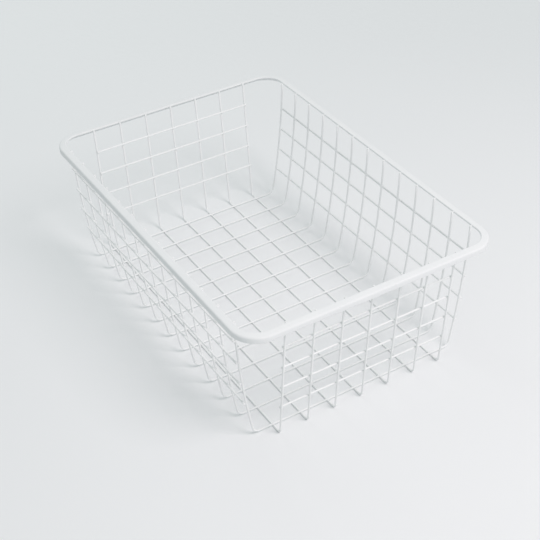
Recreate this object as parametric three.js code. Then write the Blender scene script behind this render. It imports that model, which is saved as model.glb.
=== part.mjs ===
// Welded wire basket: a folded mesh of round steel wire, closed at the top by a formed steel rim.
// Millimetres, +Z up. X runs across the basket and Y along it.
// The origin is on the standing surface, below the middle of the basket.

import * as THREE from 'three';

// Wire
const WIRE_DIAMETER = 2.6;
const WIRE_SIDES = 8;
const WELD_GAP = 0.3;

// Mesh: cross wires lie on the long wires
const CROSS_WIRE_COUNT = 13;
const CROSS_WIRE_PITCH = 36;
const LONG_WIRE_COUNT = 7;
const LONG_WIRE_PITCH = 40;

// Side walls, made by the ends of the cross wires: a tight fold, then a gentle bow
const SIDE_FOLD_MARGIN = 27.6;
const SIDE_FOLD_RADIUS = 9;
const SIDE_LEAN_AT_FLOOR = THREE.MathUtils.degToRad(10.7);
const SIDE_LEAN_AT_RIM = THREE.MathUtils.degToRad(1.7);

// End walls, made by the ends of the long wires: a tight fold, then straight
const END_FOLD_MARGIN = 15.8;
const END_FOLD_RADIUS = 7;
const END_LEAN = THREE.MathUtils.degToRad(5);

// Rails along the walls, between the lowest one and the rim. The mesh is folded a little off
// centre, which lifts the rails on the left and at the back and lowers those opposite.
const RAILS_PER_WALL = 4;
const SIDE_LOWEST_RAIL = 51;
const SIDE_RAIL_DROP = 36.4;
const SIDE_RAIL_SHIFT = 7;
const END_LOWEST_RAIL = 49.5;
const END_RAIL_DROP = 37.9;
const END_RAIL_SHIFT = 4.7;

// Rim: a leg outside the wire tips, a flange that falls gently outwards, and a lip that is folded
// back on itself, so that a blunt edge sits on the drawer runners
const RIM_TOP = 187.6;
const RIM_WIDTH = 9.8;
const RIM_DEPTH = 9.2;
const RIM_SHEET = 1.2;
const RIM_LEG = 2.4;
const RIM_SLOPE = THREE.MathUtils.degToRad(8);
const RIM_INNER_BEND = 1.4;
const RIM_OUTER_BEND = 2.6;
const RIM_HEM_ROUNDING = 0.6;
const RIM_CORNER_RADIUS = 25;
const TIP_BELOW_RIM = 1;

// Steps along the bent stretches
const FOLD_STEPS = 5;
const BOW_STEPS = 4;
const CORNER_STEPS = 9;
const BEND_STEPS = 5;
const HEM_STEPS = 2;

const POWDER_COAT = { color: 0xeef0f0, roughness: 0.45, metalness: 0 };

const wireRadius = WIRE_DIAMETER / 2;
const layerStep = WIRE_DIAMETER + WELD_GAP;
const longWireHeight = wireRadius;
const crossWireHeight = longWireHeight + layerStep;
const tipHeight = RIM_TOP - TIP_BELOW_RIM;

/** Places of a row of wires, centred on the middle of the basket. */
function row(count, pitch) {
  return Array.from({ length: count }, (_, index) => (index - (count - 1) / 2) * pitch);
}

const crossWirePlaces = row(CROSS_WIRE_COUNT, CROSS_WIRE_PITCH);
const longWirePlaces = row(LONG_WIRE_COUNT, LONG_WIRE_PITCH);

/** The wire's section: flats, tangent to the round wire, face the wires welded to it. */
function wireSection() {
  const cornerRadius = wireRadius / Math.cos(Math.PI / WIRE_SIDES);
  const corners = Array.from({ length: WIRE_SIDES }, (_, index) => {
    const angle = ((index + 0.5) / WIRE_SIDES) * 2 * Math.PI;
    return new THREE.Vector2(cornerRadius * Math.cos(angle), cornerRadius * Math.sin(angle));
  });
  return new THREE.Shape(corners);
}

/** A wire's centre line in the XZ plane, run by run, with steps only where a run bends. */
class WirePath extends THREE.Curve {
  constructor(runs) {
    super();
    this.runs = runs;
    this.steps = runs.reduce((total, run) => total + run.steps, 0);
  }

  getPoint(t, target = new THREE.Vector3()) {
    let step = t * this.steps;
    let index = 0;
    while (index < this.runs.length - 1 && step > this.runs[index].steps) {
      step -= this.runs[index].steps;
      index += 1;
    }
    const run = this.runs[index];
    const point = run.curve.getPoint(step / run.steps);
    return target.set(point.x, 0, point.y);
  }

  // Extrusion steps follow the runs, not the length along the wire.
  getUtoTmapping(u) {
    return u;
  }
}

function wireGeometry(path) {
  return new THREE.ExtrudeGeometry(wireSection(), { steps: path.steps, extrudePath: path });
}

/**
 * One wall of the basket in section: out along the floor, round the fold and up to the wire's tip.
 * The lean is measured from upright, and goes evenly from its value at the floor to that at the rim.
 */
function makeWall({ foldAt, height, foldRadius, leanAtFloor, leanAtRim }) {
  const floorEnd = foldAt - foldRadius * Math.tan((Math.PI / 2 - leanAtFloor) / 2);
  const foldCentre = new THREE.Vector2(floorEnd, height + foldRadius);
  const wallStart = new THREE.Vector2(
    foldCentre.x + foldRadius * Math.cos(leanAtFloor),
    foldCentre.y - foldRadius * Math.sin(leanAtFloor),
  );
  const rise = tipHeight - wallStart.y;
  const bowed = leanAtFloor !== leanAtRim;
  const bowRadius = bowed ? rise / (Math.sin(leanAtFloor) - Math.sin(leanAtRim)) : Infinity;
  const bowCentre = new THREE.Vector2(
    wallStart.x - bowRadius * Math.cos(leanAtFloor),
    wallStart.y + bowRadius * Math.sin(leanAtFloor),
  );

  /** The wire's centre and lean at a height on the wall. */
  function at(z) {
    if (!bowed) {
      const x = wallStart.x + (z - wallStart.y) * Math.tan(leanAtFloor);
      return { x, z, lean: leanAtFloor };
    }
    const lean = Math.asin((bowCentre.y - z) / bowRadius);
    return { x: bowCentre.x + bowRadius * Math.cos(lean), z, lean };
  }

  /** The two bent stretches, on the right (side 1) or mirrored to the left (side -1). */
  function runs(side) {
    const arc = (centre, radius, from, to) => {
      const angles = side > 0 ? [-from, -to] : [Math.PI + to, Math.PI + from];
      return new THREE.EllipseCurve(side * centre.x, centre.y, radius, radius, ...angles);
    };
    const fold = { curve: arc(foldCentre, foldRadius, Math.PI / 2, leanAtFloor), steps: FOLD_STEPS };
    const ends = [wallStart, new THREE.Vector2(at(tipHeight).x, tipHeight)];
    const mirrored = ends.map((end) => new THREE.Vector2(side * end.x, end.y));
    const straight = side > 0 ? mirrored : mirrored.reverse();
    const rise = bowed
      ? { curve: arc(bowCentre, bowRadius, leanAtFloor, leanAtRim), steps: BOW_STEPS }
      : { curve: new THREE.LineCurve(...straight), steps: 1 };
    return side > 0 ? [fold, rise] : [rise, fold];
  }

  const floor = {
    curve: new THREE.LineCurve(new THREE.Vector2(-floorEnd, height), new THREE.Vector2(floorEnd, height)),
    steps: 1,
  };
  const path = new WirePath([...runs(-1), floor, ...runs(1)]);
  const tip = at(tipHeight);
  const outerFace = tip.x + wireRadius * Math.cos(tip.lean);
  return { at, path, outerFace };
}

const sideWall = makeWall({
  foldAt: longWirePlaces.at(-1) + SIDE_FOLD_MARGIN,
  height: crossWireHeight,
  foldRadius: SIDE_FOLD_RADIUS,
  leanAtFloor: SIDE_LEAN_AT_FLOOR,
  leanAtRim: SIDE_LEAN_AT_RIM,
});

const endWall = makeWall({
  foldAt: crossWirePlaces.at(-1) + END_FOLD_MARGIN,
  height: longWireHeight,
  foldRadius: END_FOLD_RADIUS,
  leanAtFloor: END_LEAN,
  leanAtRim: END_LEAN,
});

const basket = new THREE.Group();

function addPiece(parent, name, geometry) {
  const piece = new THREE.Mesh(geometry, new THREE.MeshStandardMaterial(POWDER_COAT));
  piece.name = name;
  parent.add(piece);
  return piece;
}

const numbered = (name, index) => `${name}_${String(index + 1).padStart(2, '0')}`;

// U-shaped wires: the cross wires span the side walls, the long wires span the end walls.
function addMesh() {
  crossWirePlaces.forEach((place, index) => {
    const wire = addPiece(basket, numbered('cross_wire', index), wireGeometry(sideWall.path));
    wire.position.y = place;
  });
  longWirePlaces.forEach((place, index) => {
    const wire = addPiece(basket, numbered('long_wire', index), wireGeometry(endWall.path));
    wire.position.x = place;
    wire.rotation.z = Math.PI / 2;
  });
}

// Straight rails, welded outside the side walls' uprights and inside the end walls' uprights,
// and cut flush with the outermost ones.
function addRails({ wallName, wall, turn, halfLength, lowest, drop, shift, layer }) {
  const side = new THREE.Group();
  side.rotation.z = turn;
  basket.add(side);
  const pitch = (RIM_TOP - drop - lowest) / (RAILS_PER_WALL - 1);
  for (let index = 0; index < RAILS_PER_WALL; index += 1) {
    const { x, z, lean } = wall.at(lowest + shift + index * pitch);
    const length = new THREE.LineCurve3(
      new THREE.Vector3(0, -halfLength, 0),
      new THREE.Vector3(0, halfLength, 0),
    );
    const geometry = new THREE.ExtrudeGeometry(wireSection(), { steps: 1, extrudePath: length });
    const rail = addPiece(side, numbered(`${wallName}_rail`, index), geometry);
    rail.position.set(x + layer * Math.cos(lean), 0, z - layer * Math.sin(lean));
    rail.rotation.y = lean;
  }
}

function addAllRails() {
  const sideRails = {
    wall: sideWall,
    halfLength: crossWirePlaces.at(-1) + wireRadius,
    lowest: SIDE_LOWEST_RAIL,
    drop: SIDE_RAIL_DROP,
    layer: layerStep,
  };
  const endRails = {
    wall: endWall,
    halfLength: longWirePlaces.at(-1) + wireRadius,
    lowest: END_LOWEST_RAIL,
    drop: END_RAIL_DROP,
    layer: -layerStep,
  };
  addRails({ ...sideRails, wallName: 'right', turn: 0, shift: -SIDE_RAIL_SHIFT });
  addRails({ ...endRails, wallName: 'back', turn: Math.PI / 2, shift: END_RAIL_SHIFT });
  addRails({ ...sideRails, wallName: 'left', turn: Math.PI, shift: SIDE_RAIL_SHIFT });
  addRails({ ...endRails, wallName: 'front', turn: -Math.PI / 2, shift: -END_RAIL_SHIFT });
}

/** Points on an arc, from one angle to another. */
function arcPoints(centre, radius, from, to, steps) {
  return Array.from({ length: steps + 1 }, (_, index) => {
    const angle = from + ((to - from) * index) / steps;
    return new THREE.Vector2(centre.x + radius * Math.cos(angle), centre.y + radius * Math.sin(angle));
  });
}

/** The rim's section: x outwards from the leg's inner face, y up from the rim's top, clockwise. */
function rimSection() {
  const along = new THREE.Vector2(Math.cos(RIM_SLOPE), -Math.sin(RIM_SLOPE));
  const above = new THREE.Vector2(Math.sin(RIM_SLOPE), Math.cos(RIM_SLOPE));
  const upward = Math.PI / 2 - RIM_SLOPE;
  const down = -Math.PI / 2;

  // The flange's top touches both bends, and its underside ends at the folded lip's inner face.
  const innerBend = new THREE.Vector2(RIM_INNER_BEND, -RIM_INNER_BEND);
  const flangePoint = (height, x) => {
    const start = innerBend.clone().addScaledVector(above, height);
    return start.addScaledVector(along, (x - start.x) / along.x);
  };
  const outerBend = flangePoint(RIM_INNER_BEND - RIM_OUTER_BEND, RIM_WIDTH - RIM_OUTER_BEND);
  const hemFace = RIM_WIDTH - 2 * RIM_SHEET;
  const underBend = RIM_INNER_BEND - RIM_SHEET;
  const hemCentre = (x) => new THREE.Vector2(x, RIM_HEM_ROUNDING - RIM_DEPTH);
  return [
    new THREE.Vector2(0, -RIM_LEG),
    ...arcPoints(innerBend, RIM_INNER_BEND, Math.PI, upward, BEND_STEPS),
    ...arcPoints(outerBend, RIM_OUTER_BEND, upward, 0, BEND_STEPS),
    ...arcPoints(hemCentre(RIM_WIDTH - RIM_HEM_ROUNDING), RIM_HEM_ROUNDING, 0, down, HEM_STEPS),
    ...arcPoints(hemCentre(hemFace + RIM_HEM_ROUNDING), RIM_HEM_ROUNDING, down, -Math.PI, HEM_STEPS),
    flangePoint(underBend, hemFace),
    ...arcPoints(innerBend, underBend, upward, Math.PI, HEM_STEPS),
    new THREE.Vector2(RIM_SHEET, -RIM_LEG),
  ];
}

/** The rim: its section swept round a rounded rectangle just outside the wire tips. */
function rimGeometry() {
  const halfWidth = sideWall.outerFace + WELD_GAP;
  const halfLength = endWall.outerFace + WELD_GAP;
  const section = rimSection();
  const stations = [[1, 1], [-1, 1], [-1, -1], [1, -1]].flatMap(([sideX, sideY], corner) => {
    const centre = new THREE.Vector2(
      sideX * (halfWidth - RIM_CORNER_RADIUS),
      sideY * (halfLength - RIM_CORNER_RADIUS),
    );
    const turns = Array.from({ length: CORNER_STEPS + 1 }, (_, step) => corner + step / CORNER_STEPS);
    return turns.map((turn) => ({ centre, angle: (turn * Math.PI) / 2 }));
  });
  const positions = stations.flatMap(({ centre, angle }) => section.flatMap((point) => {
    const reach = RIM_CORNER_RADIUS + point.x;
    return [centre.x + reach * Math.cos(angle), centre.y + reach * Math.sin(angle), RIM_TOP + point.y];
  }));
  const faces = [];
  stations.forEach((_, station) => {
    const here = station * section.length;
    const next = ((station + 1) % stations.length) * section.length;
    section.forEach((__, point) => {
      const after = (point + 1) % section.length;
      faces.push(here + point, here + after, next + after, here + point, next + after, next + point);
    });
  });
  const geometry = new THREE.BufferGeometry();
  geometry.setAttribute('position', new THREE.Float32BufferAttribute(positions, 3));
  geometry.setIndex(faces);
  geometry.computeVertexNormals();
  return geometry;
}

addMesh();
addAllRails();
addPiece(basket, 'rim', rimGeometry());

export default basket;
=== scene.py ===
# %% [markdown]
# # A welded wire basket
#
# This lesson dresses the CAD model of a white drawer basket. The real one starts as a flat mesh of steel
# wire, spot welded at every crossing. Its four sides are folded up, a formed steel rim is welded round
# the wire tips, and the whole thing is powder coated. Each family of wires becomes one piece here, and so
# does the rim.

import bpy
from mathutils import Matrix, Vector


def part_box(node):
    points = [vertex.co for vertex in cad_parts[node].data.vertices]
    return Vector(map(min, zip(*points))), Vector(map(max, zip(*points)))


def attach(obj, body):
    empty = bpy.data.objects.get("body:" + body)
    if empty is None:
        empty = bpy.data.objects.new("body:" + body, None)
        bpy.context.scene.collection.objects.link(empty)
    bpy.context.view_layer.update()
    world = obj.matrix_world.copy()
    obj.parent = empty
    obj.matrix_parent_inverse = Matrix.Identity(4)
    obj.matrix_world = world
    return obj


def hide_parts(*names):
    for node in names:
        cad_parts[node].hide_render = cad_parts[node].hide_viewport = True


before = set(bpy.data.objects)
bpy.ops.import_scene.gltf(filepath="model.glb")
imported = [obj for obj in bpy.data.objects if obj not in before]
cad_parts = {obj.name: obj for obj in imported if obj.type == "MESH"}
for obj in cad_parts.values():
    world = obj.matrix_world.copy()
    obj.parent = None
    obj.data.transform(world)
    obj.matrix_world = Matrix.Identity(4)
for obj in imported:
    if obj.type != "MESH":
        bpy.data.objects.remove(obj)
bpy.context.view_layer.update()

# %% [markdown]
# ## Sizes that the bends need
#
# The box does not tell how the wire bends, so the few sizes that shape a fold are repeated here from
# the drawing. Blender works in metres.

# %% Wire sizes and the shape of the walls
import math

import bpy
from mathutils import Matrix, Vector

MM = 0.001
X, Y, Z = Vector((1, 0, 0)), Vector((0, 1, 0)), Vector((0, 0, 1))
WIRE_RADIUS = 1.3 * MM
SIDE_FOLD_AT, SIDE_FOLD_RADIUS = 147.6 * MM, 9 * MM
SIDE_LEAN_AT_FLOOR, SIDE_LEAN_AT_RIM = math.radians(10.7), math.radians(1.7)
END_FOLD_AT, END_FOLD_RADIUS = 231.8 * MM, 7 * MM
END_LEAN = math.radians(5)
FOLD_STEPS, BOW_STEPS = 12, 14


def evenly(start, end, steps):
    """Values from start to end, with equal steps between them."""
    return [start + (end - start) * i / steps for i in range(steps + 1)]


def wall_line(fold_at, floor_height, tip_height, fold_radius, lean_at_floor, lean_at_rim):
    """Centre line of one wall in section, as (outwards, up): round the fold, then up to the tip."""
    floor_end = fold_at - fold_radius * math.tan((math.pi / 2 - lean_at_floor) / 2)
    centre_up = floor_height + fold_radius
    line = [(floor_end + fold_radius * math.cos(a), centre_up - fold_radius * math.sin(a))
            for a in evenly(math.pi / 2, lean_at_floor, FOLD_STEPS)]
    out, up = line[-1]
    rise = tip_height - up
    if lean_at_floor == lean_at_rim:
        return line + [(out + rise * math.tan(lean_at_floor), tip_height)]
    bow = rise / (math.sin(lean_at_floor) - math.sin(lean_at_rim))
    bow_out, bow_up = out - bow * math.cos(lean_at_floor), up + bow * math.sin(lean_at_floor)
    return line + [(bow_out + bow * math.cos(a), bow_up - bow * math.sin(a))
                   for a in evenly(lean_at_floor, lean_at_rim, BOW_STEPS)[1:]]


def middle(node):
    low, high = (Vector(corner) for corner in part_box(node))
    return (low + high) / 2


cross_low, cross_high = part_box("cross_wire_01")
long_low, long_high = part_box("long_wire_01")
side_wall = wall_line(SIDE_FOLD_AT, cross_low[2] + WIRE_RADIUS, cross_high[2], SIDE_FOLD_RADIUS,
                      SIDE_LEAN_AT_FLOOR, SIDE_LEAN_AT_RIM)
end_wall = wall_line(END_FOLD_AT, long_low[2] + WIRE_RADIUS, long_high[2], END_FOLD_RADIUS,
                     END_LEAN, END_LEAN)
print("wire tips, mm from the middle:", round(side_wall[-1][0] / MM, 2), round(end_wall[-1][0] / MM, 2))

# %% [markdown]
# ## White powder coat
#
# Powder coat is a dry paint that is baked on. It melts to a closed satin film with a faint orange peel, a
# soft ripple about two millimetres across, and it softens every edge it covers. A plain white shader
# would look like plastic, so the ripple is a noise bump at its real size, with slow changes in gloss and
# tone where the film is thicker or thinner. The patterns read Object coordinates, so they stay put on the
# mesh from every side.

# %% Colour and node helpers
def linear(hex_colour):
    """sRGB hex to the linear RGBA that shaders expect."""
    channels = [int(hex_colour[i:i + 2], 16) / 255 for i in (1, 3, 5)]
    return [c / 12.92 if c <= 0.04045 else ((c + 0.055) / 1.055) ** 2.4 for c in channels] + [1.0]


def add_node(tree, kind, inputs=None, **settings):
    """Adds a node, sets its properties, and fills its inputs with values or with links from other sockets."""
    node = tree.nodes.new(kind)
    for name, value in settings.items():
        setattr(node, name, value)
    for name, value in (inputs or {}).items():
        socket = node.inputs[name]
        if isinstance(value, bpy.types.NodeSocket):
            tree.links.new(value, socket)
        else:
            socket.default_value = value
    return node


def empty_material(name):
    """A new material and its node tree, with no nodes in it yet."""
    material = bpy.data.materials.new(name)
    material.use_nodes = True
    material.node_tree.nodes.clear()
    return material, material.node_tree


print("a middle grey of #808080 is", round(linear("#808080")[0], 3), "in linear light")

# %% Powder coat on steel
FILM_CLOUD = 45 * MM
POWDER_COAT_IOR = 1.5


def powder_coat(name, thick_film, thin_film, roughness, peel, peel_depth):
    """Baked satin powder coat: a closed white film that breaks its highlights with a fine ripple."""
    material, tree = empty_material(name)
    place = add_node(tree, "ShaderNodeTexCoord").outputs["Object"]
    film = add_node(tree, "ShaderNodeTexNoise", {"Vector": place, "Scale": 1 / FILM_CLOUD, "Detail": 2.0})
    tone = add_node(tree, "ShaderNodeValToRGB", {"Fac": film.outputs["Fac"]})
    tone.color_ramp.elements[0].color = linear(thin_film)
    tone.color_ramp.elements[1].color = linear(thick_film)
    gloss = add_node(tree, "ShaderNodeMapRange", {
        "Value": film.outputs["Fac"], "To Min": roughness[0], "To Max": roughness[1]})
    ripple = add_node(tree, "ShaderNodeTexNoise", {"Vector": place, "Scale": 1 / peel, "Detail": 1.0})
    bump = add_node(tree, "ShaderNodeBump", {
        "Height": ripple.outputs["Fac"], "Strength": 1.0, "Distance": peel_depth})
    shader = add_node(tree, "ShaderNodeBsdfPrincipled", {
        "Base Color": tone.outputs["Color"], "Roughness": gloss.outputs["Result"], "IOR": POWDER_COAT_IOR,
        "Normal": bump.outputs["Normal"]})
    add_node(tree, "ShaderNodeOutputMaterial", {"Surface": shader.outputs["BSDF"]})
    return material


wire_coat = powder_coat("powder_coat_on_wire", thick_film="#f3f4f4", thin_film="#edeeee",
                        roughness=(0.46, 0.36), peel=1.6 * MM, peel_depth=0.06 * MM)
rim_coat = powder_coat("powder_coat_on_strip", thick_film="#eeefef", thin_film="#e8eaeb",
                       roughness=(0.8, 0.7), peel=2.2 * MM, peel_depth=0.14 * MM)
print("materials:", wire_coat.name, rim_coat.name)

# %% [markdown]
# ## Wires from centre lines
#
# All the wires are one thing: a round bar that follows a centre line. Curve objects with a bevel would
# do, but they keep flat, sharp ends. A Geometry Nodes tree gives more: it sweeps a circle along the line,
# thins the last fraction of a millimetre so that the coated ends look rounded, and repeats the bent wire
# at its pitch. One tree serves the bent wires, which repeat, and the rails, which are drawn line by line.

# %% How each tree begins and ends
def open_tree(name, sockets):
    """A Geometry Nodes tree with named inputs: the tree, its inputs, and the socket for its result."""
    tree = bpy.data.node_groups.new(name, "GeometryNodeTree")
    tree.interface.new_socket("Geometry", in_out="INPUT", socket_type="NodeSocketGeometry")
    for socket_name, kind in sockets.items():
        tree.interface.new_socket(socket_name, in_out="INPUT", socket_type=kind)
    tree.interface.new_socket("Geometry", in_out="OUTPUT", socket_type="NodeSocketGeometry")
    given = add_node(tree, "NodeGroupInput").outputs
    made = add_node(tree, "NodeGroupOutput").inputs["Geometry"]
    return tree, given, made


def close_tree(tree, geometry, material, made):
    """Ends a tree with real geometry instead of instances, and with its coat on."""
    real = add_node(tree, "GeometryNodeRealizeInstances", {"Geometry": geometry})
    coat = add_node(tree, "GeometryNodeSetMaterial", {
        "Geometry": real.outputs["Geometry"], "Material": material})
    tree.links.new(coat.outputs["Geometry"], made)
    print("tree:", tree.name, "with", len(tree.nodes), "nodes")


# %% A tree that makes rows of round wire
wire_tree, given, made = open_tree("round_wires", {
    "Radius": "NodeSocketFloat", "Sides": "NodeSocketInt", "Count": "NodeSocketInt",
    "First Place": "NodeSocketVector", "Step": "NodeSocketVector", "Material": "NodeSocketMaterial"})
line = add_node(wire_tree, "GeometryNodeMeshToCurve", {"Mesh": given["Geometry"]})
ring = add_node(wire_tree, "GeometryNodeCurvePrimitiveCircle", {
    "Resolution": given["Sides"], "Radius": given["Radius"]})
thin = add_node(wire_tree, "GeometryNodeInputNamedAttribute", {"Name": "thickness"}, data_type="FLOAT")
bar = add_node(wire_tree, "GeometryNodeCurveToMesh", {
    "Curve": line.outputs["Curve"], "Profile Curve": ring.outputs["Curve"],
    "Scale": thin.outputs["Attribute"], "Fill Caps": True})
smooth = add_node(wire_tree, "GeometryNodeSetShadeSmooth", {"Geometry": bar.outputs["Mesh"]})
row = add_node(wire_tree, "GeometryNodeMeshLine", {
    "Count": given["Count"], "Start Location": given["First Place"], "Offset": given["Step"]})
wires = add_node(wire_tree, "GeometryNodeInstanceOnPoints", {
    "Points": row.outputs["Mesh"], "Instance": smooth.outputs["Geometry"]})
close_tree(wire_tree, wires.outputs["Instances"], given["Material"], made)

# %% Centre lines with rounded ends
END_ROUNDING = 0.6 * MM
END_STEPS = 4


def rounded_line(points):
    """Adds points near both ends of a centre line, with the thickness that rounds the cut."""
    def end_points(tip, towards):
        run = (towards - tip).normalized()
        depths = [END_ROUNDING * (i / END_STEPS) ** 2 for i in range(END_STEPS + 1)]
        reach = [math.sqrt(END_ROUNDING ** 2 - (END_ROUNDING - d) ** 2) for d in depths]
        return [(tip + run * d, 1 - (END_ROUNDING - r) / WIRE_RADIUS) for d, r in zip(depths, reach)]
    head, tail = end_points(points[0], points[1]), end_points(points[-1], points[-2])
    return head + [(point, 1.0) for point in points[1:-1]] + tail[::-1]


def add_object(name, data):
    """Puts a mesh, a lamp or a camera in the scene."""
    added = bpy.data.objects.new(name, data)
    bpy.context.scene.collection.objects.link(added)
    return added


def line_object(name, lines):
    """A mesh of loose edges: one chain for each centre line, with its thickness as an attribute."""
    chains = [rounded_line(points) for points in lines]
    mesh = bpy.data.meshes.new(name)
    edges, start = [], 0
    for chain in chains:
        edges += [(start + i, start + i + 1) for i in range(len(chain) - 1)]
        start += len(chain)
    mesh.from_pydata([point for chain in chains for point, _ in chain], edges, [])
    thickness = mesh.attributes.new("thickness", "FLOAT", "POINT")
    thickness.data.foreach_set("value", [t for chain in chains for _, t in chain])
    return add_object(name, mesh)


print("wire ends are rounded over", END_ROUNDING / MM, "mm")

# %% Grow a piece from a tree, and fix it to the basket
def grow(piece, tree, values):
    """Runs a tree on an object and keeps the result as its plain mesh."""
    modifier = piece.modifiers.new(tree.name, "NODES")
    modifier.node_group = tree
    identifiers = {item.name: item.identifier for item in tree.interface.items_tree if item.in_out == "INPUT"}
    for name, value in values.items():
        modifier[identifiers[name]] = value
    graph = bpy.context.evaluated_depsgraph_get()
    mesh = bpy.data.meshes.new_from_object(piece.evaluated_get(graph), depsgraph=graph)
    piece.modifiers.remove(modifier)
    mesh.name = piece.name
    piece.data = mesh
    print(piece.name, "has", len(mesh.polygons), "faces")


def settle(piece, nodes=()):
    """Fixes a finished piece to the basket, in place of its CAD nodes."""
    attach(piece, "root")
    if nodes:
        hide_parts(*nodes)


# %% [markdown]
# ## The mesh that holds the load
#
# Thirteen cross wires and seven long wires make the floor and the uprights of the walls. Each is bent
# once at either end. The long wires lie underneath, so the basket stands on them. Every wire of a row is
# the same, so one bent centre line is drawn and the tree repeats it.

# %% Cross wires and long wires
WIRE_SIDES = 16
CROSS_COUNT, LONG_COUNT = 13, 7
cross_nodes = [f"cross_wire_{i:02d}" for i in range(1, CROSS_COUNT + 1)]
long_nodes = [f"long_wire_{i:02d}" for i in range(1, LONG_COUNT + 1)]


def bent_line(wall, axis):
    """The whole U: down one wall, along the floor and up the other."""
    half = [axis * out + Z * up for out, up in wall]
    other = [axis * -out + Z * up for out, up in wall]
    return other[::-1] + half


def bent_wires(name, wall, axis, across, nodes):
    """A row of equal bent wires that lie along one axis and follow each other across it."""
    first, last = middle(nodes[0]) * across, middle(nodes[-1]) * across
    piece = line_object(name, [bent_line(wall, axis)])
    grow(piece, wire_tree, {
        "Radius": WIRE_RADIUS, "Sides": WIRE_SIDES, "Count": len(nodes), "First Place": first,
        "Step": (last - first) / (len(nodes) - 1), "Material": wire_coat})
    settle(piece, nodes)


bent_wires("cross_wires", side_wall, X, Y, cross_nodes)
bent_wires("long_wires", end_wall, Y, X, long_nodes)

# %% [markdown]
# ## Rails along the walls
#
# Four straight wires stiffen each wall. They belong to the same flat mesh, so after folding they lie
# outside the uprights of the long walls and inside those of the short walls. The CAD boxes give their
# places and lengths.

# %% Four rails on each wall
RAIL_COUNT = 4
RAIL_RUNS = {"left": Y, "right": Y, "front": X, "back": X}


def rails(wall, run):
    """Makes the rails of one wall as one piece, and returns their centre lines."""
    nodes = [f"{wall}_rail_{i:02d}" for i in range(1, RAIL_COUNT + 1)]
    lines = []
    for node in nodes:
        low, high = (Vector(corner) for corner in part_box(node))
        centre, half = (low + high) / 2, (high - low) * run / 2
        lines.append([centre - half, centre + half])
    piece = line_object(f"{wall}_rails", lines)
    grow(piece, wire_tree, {
        "Radius": WIRE_RADIUS, "Sides": WIRE_SIDES, "Count": 1, "First Place": (0, 0, 0),
        "Step": (0, 0, 0), "Material": wire_coat})
    settle(piece, nodes)
    return lines


rail_lines = {wall: rails(wall, run) for wall, run in RAIL_RUNS.items()}

# %% [markdown]
# ## Spot welds
#
# Where two wires cross, a spot welder presses them together until they melt into each other, and the
# powder coat later fills the notch. Up close that leaves a small soft lump at each crossing. There are
# nearly three hundred, so one low ball is flattened and set on a cloud of points by a second tree. Each
# point carries the direction in which the wires are pressed and the size of its lump.

# %% A tree that sets a lump on each point
bead_tree, given, made = open_tree("weld_beads", {
    "Segments": "NodeSocketInt", "Rings": "NodeSocketInt", "Material": "NodeSocketMaterial"})
points = add_node(bead_tree, "GeometryNodeMeshToPoints", {"Mesh": given["Geometry"]})
ball = add_node(bead_tree, "GeometryNodeMeshUVSphere", {
    "Segments": given["Segments"], "Rings": given["Rings"], "Radius": 1.0})
soft = add_node(bead_tree, "GeometryNodeSetShadeSmooth", {"Geometry": ball.outputs["Mesh"]})
facing = add_node(bead_tree, "GeometryNodeInputNamedAttribute", {"Name": "facing"}, data_type="FLOAT_VECTOR")
size = add_node(bead_tree, "GeometryNodeInputNamedAttribute", {"Name": "size"}, data_type="FLOAT_VECTOR")
pressed = add_node(bead_tree, "FunctionNodeAlignRotationToVector", {
    "Vector": facing.outputs["Attribute"]}, axis="Z")
lumps = add_node(bead_tree, "GeometryNodeInstanceOnPoints", {
    "Points": points.outputs["Points"], "Instance": soft.outputs["Geometry"],
    "Rotation": pressed.outputs["Rotation"], "Scale": size.outputs["Attribute"]})
close_tree(bead_tree, lumps.outputs["Instances"], given["Material"], made)

# %% Where the wires touch
CROSSING_LUMP, TIP_LUMP = Vector((1.45, 1.45, 0.6)) * MM, Vector((1.2, 1.2, 0.5)) * MM
TIP_WELD_DROP = 0.6 * MM


def wall_out(wall, up):
    """How far out a wall's centre line is at a height above its fold."""
    for (out_a, up_a), (out_b, up_b) in zip(wall, wall[1:]):
        if up_a <= up <= up_b:
            return out_a + (out_b - out_a) * (up - up_a) / (up_b - up_a)


cross_places = [middle(node).y for node in cross_nodes]
long_places = [middle(node).x for node in long_nodes]
floor_weld_up = (long_low[2] + 2 * WIRE_RADIUS + cross_low[2]) / 2
welds = [(Vector((x, y, floor_weld_up)), Z, CROSSING_LUMP) for x in long_places for y in cross_places]
for wall, run in RAIL_RUNS.items():
    uprights, axis, places = (side_wall, X, cross_places) if run == Y else (end_wall, Y, long_places)
    starts = [start for start, _ in rail_lines[wall]]
    outward = math.copysign(1, starts[0].dot(axis))
    for start in starts:
        between = (start.dot(axis) + outward * wall_out(uprights, start.z)) / 2
        welds += [(axis * between + run * place + Z * start.z, axis, CROSSING_LUMP) for place in places]
    tip_up = uprights[-1][1] - TIP_WELD_DROP
    tip_face = outward * (wall_out(uprights, tip_up) + WIRE_RADIUS)
    welds += [(axis * tip_face + run * place + Z * tip_up, axis, TIP_LUMP) for place in places]
print("welds:", len(welds))

# %% Set the lumps
BEAD_SEGMENTS, BEAD_RINGS = 8, 5
weld_mesh = bpy.data.meshes.new("weld_beads")
weld_mesh.from_pydata([place for place, _, _ in welds], [], [])
for name, column in {"facing": 1, "size": 2}.items():
    attribute = weld_mesh.attributes.new(name, "FLOAT_VECTOR", "POINT")
    attribute.data.foreach_set("vector", [value for weld in welds for value in weld[column]])
weld_beads = add_object("weld_beads", weld_mesh)
grow(weld_beads, bead_tree, {"Segments": BEAD_SEGMENTS, "Rings": BEAD_RINGS, "Material": wire_coat})
settle(weld_beads)

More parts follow.
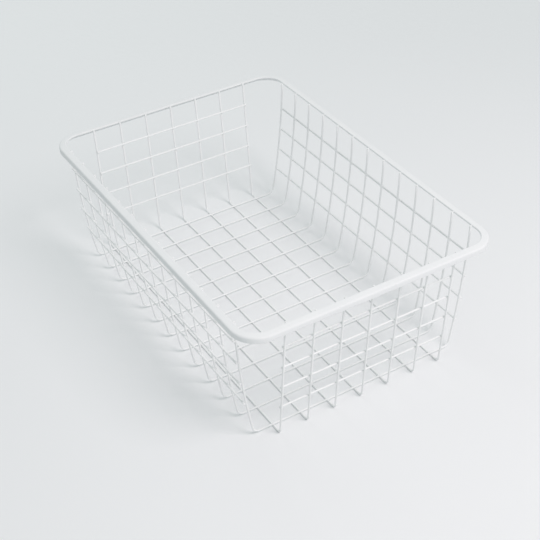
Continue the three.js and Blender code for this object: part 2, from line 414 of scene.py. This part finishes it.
# %% [markdown]
# ## The formed rim
#
# The rim is a steel strip, rolled to a section and bent round to a rounded rectangle. A short leg stands
# outside the wire tips, a flange falls gently outwards from it, and the outer edge turns down to a lip
# that is folded back on itself, so that nothing sharp is left to grip. It could be modelled as a lofted
# mesh by hand, but sweeping one drawn section round a path is how it is made, and it keeps the section
# exact in the corners.

# %% The rim's section
RIM_WIDTH, RIM_DEPTH, RIM_SHEET, RIM_LEG = 9.8 * MM, 9.2 * MM, 1.2 * MM, 2.4 * MM
RIM_SLOPE, RIM_INNER_BEND, RIM_OUTER_BEND = math.radians(8), 1.4 * MM, 2.6 * MM
HEM_ROUNDING, EDGE_ROUNDING = 0.6 * MM, 0.3 * MM
INNER_STEPS, OUTER_STEPS, HEM_STEPS, EDGE_STEPS = 8, 10, 5, 3


def arc(centre, radius, start, end, steps):
    return [(centre[0] + radius * math.cos(a), centre[1] + radius * math.sin(a))
            for a in evenly(start, end, steps)]


def rim_section():
    """(outwards, up) from the top of the leg's inner face, clockwise."""
    along = Vector((math.cos(RIM_SLOPE), -math.sin(RIM_SLOPE)))
    above = Vector((math.sin(RIM_SLOPE), math.cos(RIM_SLOPE)))
    upward, down = math.pi / 2 - RIM_SLOPE, -math.pi / 2
    inner = Vector((RIM_INNER_BEND, -RIM_INNER_BEND))

    def flange_point(height, out):
        start = inner + above * height
        return start + along * ((out - start.x) / along.x)

    outer = flange_point(RIM_INNER_BEND - RIM_OUTER_BEND, RIM_WIDTH - RIM_OUTER_BEND)
    hem_face, hem_up = RIM_WIDTH - 2 * RIM_SHEET, HEM_ROUNDING - RIM_DEPTH
    leg_end = EDGE_ROUNDING - RIM_LEG
    return (arc((EDGE_ROUNDING, leg_end), EDGE_ROUNDING, down, -math.pi, EDGE_STEPS)
            + arc(inner, RIM_INNER_BEND, math.pi, upward, INNER_STEPS)
            + arc(outer, RIM_OUTER_BEND, upward, 0, OUTER_STEPS)
            + arc((RIM_WIDTH - HEM_ROUNDING, hem_up), HEM_ROUNDING, 0, down, HEM_STEPS)
            + arc((hem_face + HEM_ROUNDING, hem_up), HEM_ROUNDING, down, -math.pi, HEM_STEPS)
            + [tuple(flange_point(RIM_INNER_BEND - RIM_SHEET, hem_face))]
            + arc(inner, RIM_INNER_BEND - RIM_SHEET, upward, math.pi, EDGE_STEPS)
            + arc((RIM_SHEET - EDGE_ROUNDING, leg_end), EDGE_ROUNDING, 0, down, EDGE_STEPS))


section = rim_section()
print("rim section:", len(section), "points, lowest at", round(min(up for _, up in section) / MM, 2), "mm")

# %% A tree that sweeps the section round the basket
rim_tree, given, made = open_tree("rim_sweep", {
    "Width": "NodeSocketFloat", "Length": "NodeSocketFloat", "Corner Radius": "NodeSocketFloat",
    "Corner Steps": "NodeSocketInt", "Top": "NodeSocketVector", "Material": "NodeSocketMaterial"})
profile = add_node(rim_tree, "GeometryNodeMeshToCurve", {"Mesh": given["Geometry"]})
rectangle = add_node(rim_tree, "GeometryNodeCurvePrimitiveQuadrilateral", {
    "Width": given["Width"], "Height": given["Length"]})
rounded = add_node(rim_tree, "GeometryNodeFilletCurve", {
    "Curve": rectangle.outputs["Curve"], "Radius": given["Corner Radius"],
    "Count": given["Corner Steps"]}, mode="POLY")
path = add_node(rim_tree, "GeometryNodeSetCurveNormal", {"Curve": rounded.outputs["Curve"]}, mode="Z_UP")
strip = add_node(rim_tree, "GeometryNodeCurveToMesh", {
    "Curve": path.outputs["Curve"], "Profile Curve": profile.outputs["Curve"]})
raised = add_node(rim_tree, "GeometryNodeTransform", {
    "Geometry": strip.outputs["Mesh"], "Translation": given["Top"]})
smooth = add_node(rim_tree, "GeometryNodeSetShadeSmooth", {"Geometry": raised.outputs["Geometry"]})
close_tree(rim_tree, smooth.outputs["Geometry"], given["Material"], made)

# %% Sweep the rim
RIM_CORNER, RIM_CORNER_STEPS = 25 * MM, 18
section_mesh = bpy.data.meshes.new("rim")
section_mesh.from_pydata([(out, -up, 0) for out, up in section],
                         [(i, (i + 1) % len(section)) for i in range(len(section))], [])
rim = add_object("rim_strip", section_mesh)
rim_high = Vector(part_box("rim")[1])
leg_corner = rim_high - Vector((RIM_WIDTH, RIM_WIDTH, 0))
grow(rim, rim_tree, {
    "Width": 2 * leg_corner.x, "Length": 2 * leg_corner.y, "Corner Radius": RIM_CORNER,
    "Corner Steps": RIM_CORNER_STEPS, "Top": (0, 0, rim_high.z), "Material": rim_coat})
settle(rim, ["rim"])
places = [vertex.co for vertex in rim.data.vertices]
print("rim box in mm:", [round(min(place[k] for place in places) / MM, 2) for k in range(3)],
      [round(max(place[k] for place in places) / MM, 2) for k in range(3)])

# %% [markdown]
# ## Floor and backdrop
#
# The basket stands on a plain pale surface. A floor of fixed size would show its edge, and a bright patch
# under the lamp, in views from other sides. So the paint fades away at a distance from the basket, and a
# plain backdrop of nearly the same tone shows through. The fade is made for what the camera or a
# reflection sees. The light that the floor throws back at the basket is that of the whole floor.

# %% Pale floor that fades into the backdrop
FLOOR_HALF, FADE_FROM, FADE_TO = 6.0, 0.6, 1.4
FLOOR_WHITE, FLOOR_ROUGHNESS = "#edeeef", 0.9


def seen_directly(tree):
    """1 for what the camera or a reflection looks at, and 0 for the light thrown on the basket."""
    path = add_node(tree, "ShaderNodeLightPath").outputs
    seen = 0.0
    for ray in ("Is Camera Ray", "Is Glossy Ray", "Is Transmission Ray"):
        seen = add_node(tree, "ShaderNodeMath", {0: seen, 1: path[ray]}, operation="MAXIMUM").outputs["Value"]
    return seen


def floor_paint():
    """Matte white paint, which shows soft shadows and no reflections."""
    material, tree = empty_material("matte_floor_paint")
    place = add_node(tree, "ShaderNodeTexCoord").outputs["Object"]
    away = add_node(tree, "ShaderNodeVectorMath", {0: place}, operation="LENGTH")
    fade = add_node(tree, "ShaderNodeMapRange", {
        "Value": away.outputs["Value"], "From Min": FADE_FROM, "From Max": FADE_TO},
        interpolation_type="SMOOTHSTEP")
    share = add_node(tree, "ShaderNodeMath", {
        0: fade.outputs["Result"], 1: seen_directly(tree)}, operation="MULTIPLY")
    paint = add_node(tree, "ShaderNodeBsdfPrincipled", {
        "Base Color": linear(FLOOR_WHITE), "Roughness": FLOOR_ROUGHNESS})
    gone = add_node(tree, "ShaderNodeBsdfTransparent")
    mixed = add_node(tree, "ShaderNodeMixShader", {
        0: share.outputs["Value"], 1: paint.outputs["BSDF"], 2: gone.outputs["BSDF"]})
    add_node(tree, "ShaderNodeOutputMaterial", {"Surface": mixed.outputs["Shader"]})
    return material


floor_mesh = bpy.data.meshes.new("floor")
floor_mesh.from_pydata([(-FLOOR_HALF, -FLOOR_HALF, 0), (FLOOR_HALF, -FLOOR_HALF, 0),
                        (FLOOR_HALF, FLOOR_HALF, 0), (-FLOOR_HALF, FLOOR_HALF, 0)], [], [(0, 1, 2, 3)])
floor_mesh.materials.append(floor_paint())
floor = add_object("floor", floor_mesh)
print("floor:", 2 * FLOOR_HALF, "m wide, plain backdrop from", FADE_TO, "m")

# %% [markdown]
# ## Light
#
# A product like this is lit softly. One large round lamp stands high in front and a little to the right.
# Its size sets how soft the shadows of the wires are, and its distance how much the light falls off to
# the left and the back. A weak lamp behind the basket and even light from all round keep the shaded sides
# of the wires from going dark. The large lamp is a little rosy and the even light a little green.
# Together they come out white, and the shade turns cool.

# %% Key lamp, fill lamp and even light
AMBIENT, EVEN_TINT, BACKDROP_GREY = 0.52, "#f5ffff", "#dce0e1"


def softbox(name, azimuth, elevation, distance, size, power, tint):
    """A round area lamp, size metres across, that looks at the basket from a direction given in degrees."""
    azimuth, elevation = math.radians(azimuth), math.radians(elevation)
    direction = Vector((math.cos(azimuth) * math.cos(elevation), math.sin(azimuth) * math.cos(elevation),
                        math.sin(elevation)))
    data = bpy.data.lights.new(name, "AREA")
    data.shape, data.size, data.energy, data.color = "DISK", size, power, linear(tint)[:3]
    lamp = add_object(name, data)
    lamp.location = direction * distance
    lamp.rotation_euler = direction.to_track_quat("Z", "Y").to_euler()
    print(name, "at", [round(c, 2) for c in lamp.location])


softbox("key_softbox", azimuth=287, elevation=53, distance=2.6, size=1.2, power=32.8, tint="#fff4f6")
softbox("fill_softbox", azimuth=95, elevation=32, distance=2.3, size=1.3, power=7.3, tint="#fdfffd")
world = bpy.data.worlds.new("studio")
bpy.context.scene.world = world
world.use_nodes = True
sky = world.node_tree
sky.nodes.clear()
even_light = add_node(sky, "ShaderNodeBackground", {"Color": linear(EVEN_TINT), "Strength": AMBIENT})
backdrop = add_node(sky, "ShaderNodeBackground", {"Color": linear(BACKDROP_GREY), "Strength": 1.0})
either = add_node(sky, "ShaderNodeMixShader", {
    0: seen_directly(sky), 1: even_light.outputs["Background"], 2: backdrop.outputs["Background"]})
add_node(sky, "ShaderNodeOutputWorld", {"Surface": either.outputs["Shader"]})
bpy.context.scene.view_settings.view_transform = "Standard"

# %% [markdown]
# ## Camera
#
# The picture was taken with a long lens that looks down along the basket from its left front corner. The
# camera is placed by its direction, its distance and how far it is shifted aside and up, so that each
# number has one meaning.

# %% Camera
CAMERA_AZIMUTH, CAMERA_ELEVATION, CAMERA_ROLL = (math.radians(a) for a in (-30.933, 37.137, -1.437))
CAMERA_DISTANCE, CAMERA_ASIDE, CAMERA_ABOVE = 1.69533, 0.00759, 0.04122
FOCAL_PIXELS, PICTURE_PIXELS, SENSOR = 1229.97, 540, 36.0
back = Vector((math.sin(CAMERA_AZIMUTH) * math.cos(CAMERA_ELEVATION),
               -math.cos(CAMERA_AZIMUTH) * math.cos(CAMERA_ELEVATION), math.sin(CAMERA_ELEVATION)))
level = Vector((math.cos(CAMERA_AZIMUTH), math.sin(CAMERA_AZIMUTH), 0))
above = back.cross(level)
right = level * math.cos(CAMERA_ROLL) + above * math.sin(CAMERA_ROLL)
up = above * math.cos(CAMERA_ROLL) - level * math.sin(CAMERA_ROLL)
camera_data = bpy.data.cameras.new("camera")
camera_data.sensor_width, camera_data.lens = SENSOR, FOCAL_PIXELS / PICTURE_PIXELS * SENSOR
camera = add_object("camera", camera_data)
stand = back * CAMERA_DISTANCE + right * CAMERA_ASIDE + up * CAMERA_ABOVE
camera.matrix_world = Matrix.Translation(stand) @ Matrix((right, up, back)).transposed().to_4x4()
bpy.context.scene.camera = camera
print("lens:", round(camera_data.lens, 2), "mm")
